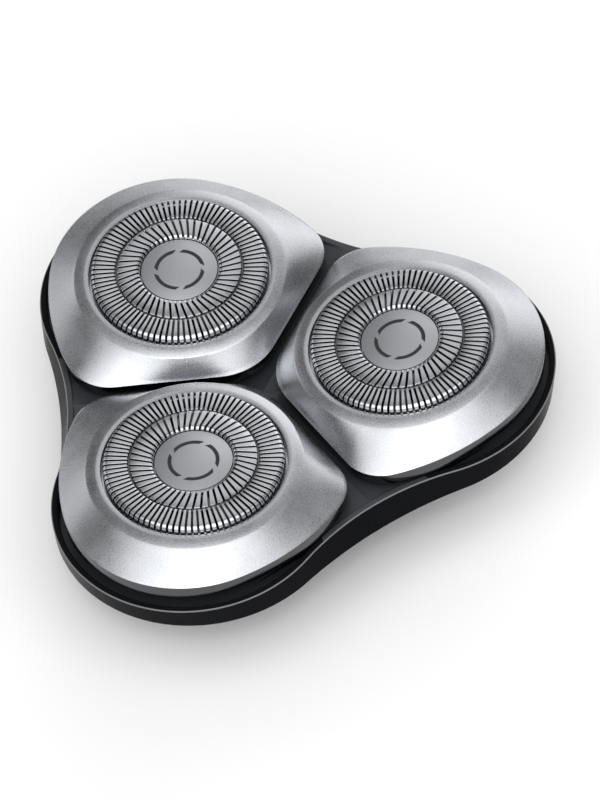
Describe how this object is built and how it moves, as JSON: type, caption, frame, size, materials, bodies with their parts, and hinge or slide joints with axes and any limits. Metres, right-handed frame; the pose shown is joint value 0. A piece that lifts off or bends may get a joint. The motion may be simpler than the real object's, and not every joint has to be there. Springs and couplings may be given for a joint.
{
  "type": "rotary shaver head",
  "caption": "Rotary shaver head: round slotted guard caps in tilting silver bezels on a black tri-lobed frame, with blade rings, sprung spindles and a gear train under them.",
  "frame": {"origin": "centre of the coupling collar's resting face, on the drive axis", "axes": "+Z along the drive axis towards the shaving faces, +X towards the middle of head 1; heads 2 and 3 follow anticlockwise at 120 and 240 degrees"},
  "size_m": [0.0664, 0.0708, 0.0219],
  "materials": {
    "frame_black": "near-black, polished",
    "dark_plastic": "dark grey, moulded",
    "satin_silver": "satin silver, bead blasted",
    "guard_steel": "brushed, bright",
    "disc_steel": "light grey, fine circular brushing",
    "blade_steel": "ground",
    "hub_plastic": "dark grey, moulded",
    "gear_acetal": "off-white, moulded",
    "spring_steel": "drawn wire",
    "seal_rubber": "matt black",
    "screw_steel": "plain"
  },
  "bodies": {
    "frame": {"top_frame": "frame_black", "lower_housing": "dark_plastic", "gear_cover": "dark_plastic", "coupling_collar": "dark_plastic", "collar_seal": "seal_rubber", "screw_1": "screw_steel", "screw_2": "screw_steel", "screw_3": "screw_steel"},
    "drive": {"drive_gear": "gear_acetal"},
    "head_1": {"bezel_1": "satin_silver", "pivot_ring_1": "dark_plastic"},
    "guard_1": {"guard_1": "guard_steel", "centre_disc_1": "disc_steel"},
    "cutter_1": {"cutter_blades_1": "blade_steel", "cutter_hub_1": "hub_plastic"},
    "spindle_1": {"spindle_gear_1": "gear_acetal", "spindle_spring_1": "spring_steel"},
    "tip_1": {"spindle_tip_1": "hub_plastic"},
    "head_2": {"bezel_2": "satin_silver", "pivot_ring_2": "dark_plastic"},
    "guard_2": {"guard_2": "guard_steel", "centre_disc_2": "disc_steel"},
    "cutter_2": {"cutter_blades_2": "blade_steel", "cutter_hub_2": "hub_plastic"},
    "spindle_2": {"spindle_gear_2": "gear_acetal", "spindle_spring_2": "spring_steel"},
    "tip_2": {"spindle_tip_2": "hub_plastic"},
    "head_3": {"bezel_3": "satin_silver", "pivot_ring_3": "dark_plastic"},
    "guard_3": {"guard_3": "guard_steel", "centre_disc_3": "disc_steel"},
    "cutter_3": {"cutter_blades_3": "blade_steel", "cutter_hub_3": "hub_plastic"},
    "spindle_3": {"spindle_gear_3": "gear_acetal", "spindle_spring_3": "spring_steel"},
    "tip_3": {"spindle_tip_3": "hub_plastic"}
  },
  "joints": [
    {"name": "drive_spin", "type": "hinge", "parent": "frame", "child": "drive", "pos_m": [0, 0, 0.0085], "axis": [0, 0, 1], "continuous": true},
    {"name": "head_tilt_1", "type": "hinge", "parent": "frame", "child": "head_1", "pos_m": [0.01864, 0, 0.01601], "axis": [0, 1, 0], "range_deg": [-2, 4], "stiffness_Nm_per_rad": 0.05},
    {"name": "guard_press_1", "type": "slide", "parent": "head_1", "child": "guard_1", "axis": [-0.0488, 0, 0.9988], "range_m": [-0.001, 0], "stiffness_N_per_m": 300, "springref_m": 0.002},
    {"name": "cutter_spin_1", "type": "hinge", "parent": "guard_1", "child": "cutter_1", "pos_m": [0.01864, 0, 0.01601], "axis": [-0.0488, 0, 0.9988], "continuous": true},
    {"name": "spindle_spin_1", "type": "hinge", "parent": "frame", "child": "spindle_1", "pos_m": [0.01864, 0, 0.0085], "axis": [0, 0, 1], "continuous": true},
    {"name": "tip_slide_1", "type": "slide", "parent": "spindle_1", "child": "tip_1", "axis": [0, 0, 1], "range_m": [-0.001, 0], "deforming": ["spindle_spring_1"]},
    {"name": "head_tilt_2", "type": "hinge", "parent": "frame", "child": "head_2", "pos_m": [-0.00932, 0.01615, 0.01601], "axis": [-0.866, -0.5, 0], "range_deg": [-2, 4], "stiffness_Nm_per_rad": 0.05},
    {"name": "guard_press_2", "type": "slide", "parent": "head_2", "child": "guard_2", "axis": [0.0244, -0.0423, 0.9988], "range_m": [-0.001, 0], "stiffness_N_per_m": 300, "springref_m": 0.002},
    {"name": "cutter_spin_2", "type": "hinge", "parent": "guard_2", "child": "cutter_2", "pos_m": [-0.00932, 0.01615, 0.01601], "axis": [0.0244, -0.0423, 0.9988], "continuous": true},
    {"name": "spindle_spin_2", "type": "hinge", "parent": "frame", "child": "spindle_2", "pos_m": [-0.00932, 0.01615, 0.0085], "axis": [0, 0, 1], "continuous": true},
    {"name": "tip_slide_2", "type": "slide", "parent": "spindle_2", "child": "tip_2", "axis": [0, 0, 1], "range_m": [-0.001, 0], "deforming": ["spindle_spring_2"]},
    {"name": "head_tilt_3", "type": "hinge", "parent": "frame", "child": "head_3", "pos_m": [-0.00932, -0.01615, 0.01601], "axis": [0.866, -0.5, 0], "range_deg": [-2, 4], "stiffness_Nm_per_rad": 0.05},
    {"name": "guard_press_3", "type": "slide", "parent": "head_3", "child": "guard_3", "axis": [0.0244, 0.0423, 0.9988], "range_m": [-0.001, 0], "stiffness_N_per_m": 300, "springref_m": 0.002},
    {"name": "cutter_spin_3", "type": "hinge", "parent": "guard_3", "child": "cutter_3", "pos_m": [-0.00932, -0.01615, 0.01601], "axis": [0.0244, 0.0423, 0.9988], "continuous": true},
    {"name": "spindle_spin_3", "type": "hinge", "parent": "frame", "child": "spindle_3", "pos_m": [-0.00932, -0.01615, 0.0085], "axis": [0, 0, 1], "continuous": true},
    {"name": "tip_slide_3", "type": "slide", "parent": "spindle_3", "child": "tip_3", "axis": [0, 0, 1], "range_m": [-0.001, 0], "deforming": ["spindle_spring_3"]}
  ],
  "couplings": [
    {"joint": "spindle_spin_1", "follows": "drive_spin", "ratio": -1},
    {"joint": "cutter_spin_1", "follows": "drive_spin", "ratio": -1},
    {"joint": "tip_slide_1", "follows": "guard_press_1", "ratio": 1},
    {"joint": "spindle_spin_2", "follows": "drive_spin", "ratio": -1},
    {"joint": "cutter_spin_2", "follows": "drive_spin", "ratio": -1},
    {"joint": "tip_slide_2", "follows": "guard_press_2", "ratio": 1},
    {"joint": "spindle_spin_3", "follows": "drive_spin", "ratio": -1},
    {"joint": "cutter_spin_3", "follows": "drive_spin", "ratio": -1},
    {"joint": "tip_slide_3", "follows": "guard_press_3", "ratio": 1}
  ]
}
